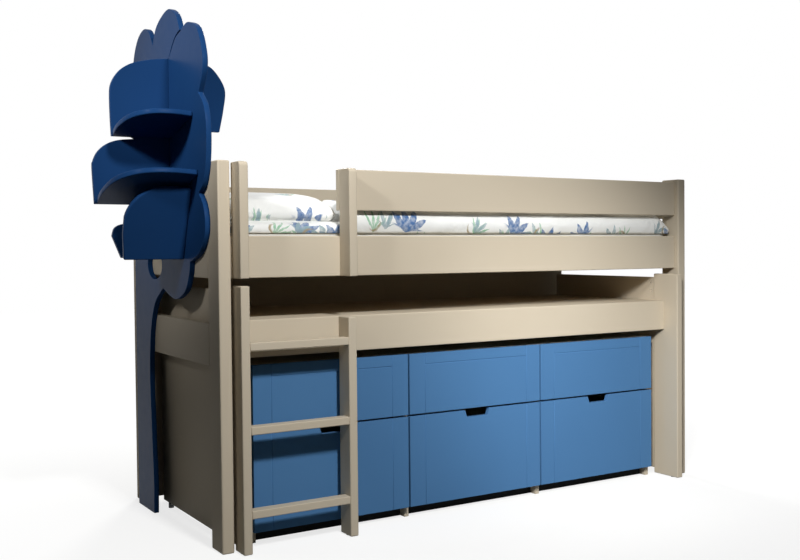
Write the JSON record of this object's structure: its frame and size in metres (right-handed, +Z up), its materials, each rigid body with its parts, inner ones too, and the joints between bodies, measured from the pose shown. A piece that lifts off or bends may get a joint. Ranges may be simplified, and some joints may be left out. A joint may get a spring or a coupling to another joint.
{
  "type": "mid sleeper bed",
  "caption": "Raised single bed with guard rails, a pull-out desk with ladder, a low drawer chest below and a tree-shaped bookcase on one end.",
  "frame": {"origin": "on the floor under the middle of the whole part's box", "axes": "+X along the bed from the tree end to the foot end, the front faces -Y, +Z up"},
  "size_m": [2.3721, 1.06, 1.8624],
  "materials": {
    "lacquer": "satin cream lacquer on board",
    "blue_front": "satin mid-blue lacquer on board",
    "drawer_board": "plain off-white board",
    "tree_lacquer": "glossy blue lacquer on board",
    "dark_board": "dark grey board",
    "steel": "bright zinc-plated steel sheet",
    "slat_wood": "plain birch",
    "foam": "woven white mattress cover",
    "bedding": "white cotton with a loose leaf print",
    "nylon": "plain moulded plastic"
  },
  "bodies": {
    "bed": {"left_front_post": "lacquer", "left_rear_post": "lacquer", "right_front_post": "lacquer", "right_rear_post": "lacquer", "left_mid_rail": "lacquer", "right_mid_rail": "lacquer", "left_bed_rail": "lacquer", "right_bed_rail": "lacquer", "left_guard_rail": "lacquer", "right_guard_rail": "lacquer", "front_bed_rail": "lacquer", "front_guard_rail": "lacquer", "rear_bed_rail": "lacquer", "rear_guard_rail": "lacquer", "left_guard_post": "lacquer", "middle_guard_post": "lacquer", "back_panel": "lacquer", "slat_bearers": "lacquer", "chest_uprights": "lacquer", "chest_top": "lacquer", "chest_bottoms": "lacquer", "chest_back": "lacquer", "tree_board": "tree_lacquer", "cross_board": "tree_lacquer", "top_shelf": "tree_lacquer", "middle_shelf": "tree_lacquer", "low_shelf": "tree_lacquer", "low_front": "tree_lacquer", "chest_plinths": "dark_board", "rail_brackets": "steel", "drawer_runners": "steel", "slats": "slat_wood", "mattress": "foam", "pillow": "bedding", "duvet": "bedding", "desk_guides": "nylon"},
    "desk": {"left_stile": "lacquer", "right_stile": "lacquer", "rungs": "lacquer", "desk_beam": "lacquer", "desk_top": "lacquer", "desk_rear_rail": "lacquer", "desk_left_side": "lacquer", "desk_right_side": "lacquer", "desk_right_board": "lacquer", "desk_feet": "nylon"},
    "left_upper_drawer": {"left_upper_front": "blue_front", "left_upper_box": "drawer_board"},
    "left_lower_drawer": {"left_lower_front": "blue_front", "left_lower_box": "drawer_board"},
    "middle_upper_drawer": {"middle_upper_front": "blue_front", "middle_upper_box": "drawer_board"},
    "middle_lower_drawer": {"middle_lower_front": "blue_front", "middle_lower_box": "drawer_board"},
    "right_upper_drawer": {"right_upper_front": "blue_front", "right_upper_box": "drawer_board"},
    "right_lower_drawer": {"right_lower_front": "blue_front", "right_lower_box": "drawer_board"}
  },
  "joints": [
    {"name": "desk_slide", "type": "slide", "parent": "bed", "child": "desk", "axis": [0, -1, 0], "range_m": [0, 0.6]},
    {"name": "left_upper_slide", "type": "slide", "parent": "bed", "child": "left_upper_drawer", "axis": [0, -1, 0], "range_m": [0, 0.025]},
    {"name": "left_lower_slide", "type": "slide", "parent": "bed", "child": "left_lower_drawer", "axis": [0, -1, 0], "range_m": [0, 0.025]},
    {"name": "middle_upper_slide", "type": "slide", "parent": "bed", "child": "middle_upper_drawer", "axis": [0, -1, 0], "range_m": [0, 0.45]},
    {"name": "middle_lower_slide", "type": "slide", "parent": "bed", "child": "middle_lower_drawer", "axis": [0, -1, 0], "range_m": [0, 0.45]},
    {"name": "right_upper_slide", "type": "slide", "parent": "bed", "child": "right_upper_drawer", "axis": [0, -1, 0], "range_m": [0, 0.45]},
    {"name": "right_lower_slide", "type": "slide", "parent": "bed", "child": "right_lower_drawer", "axis": [0, -1, 0], "range_m": [0, 0.45]}
  ]
}
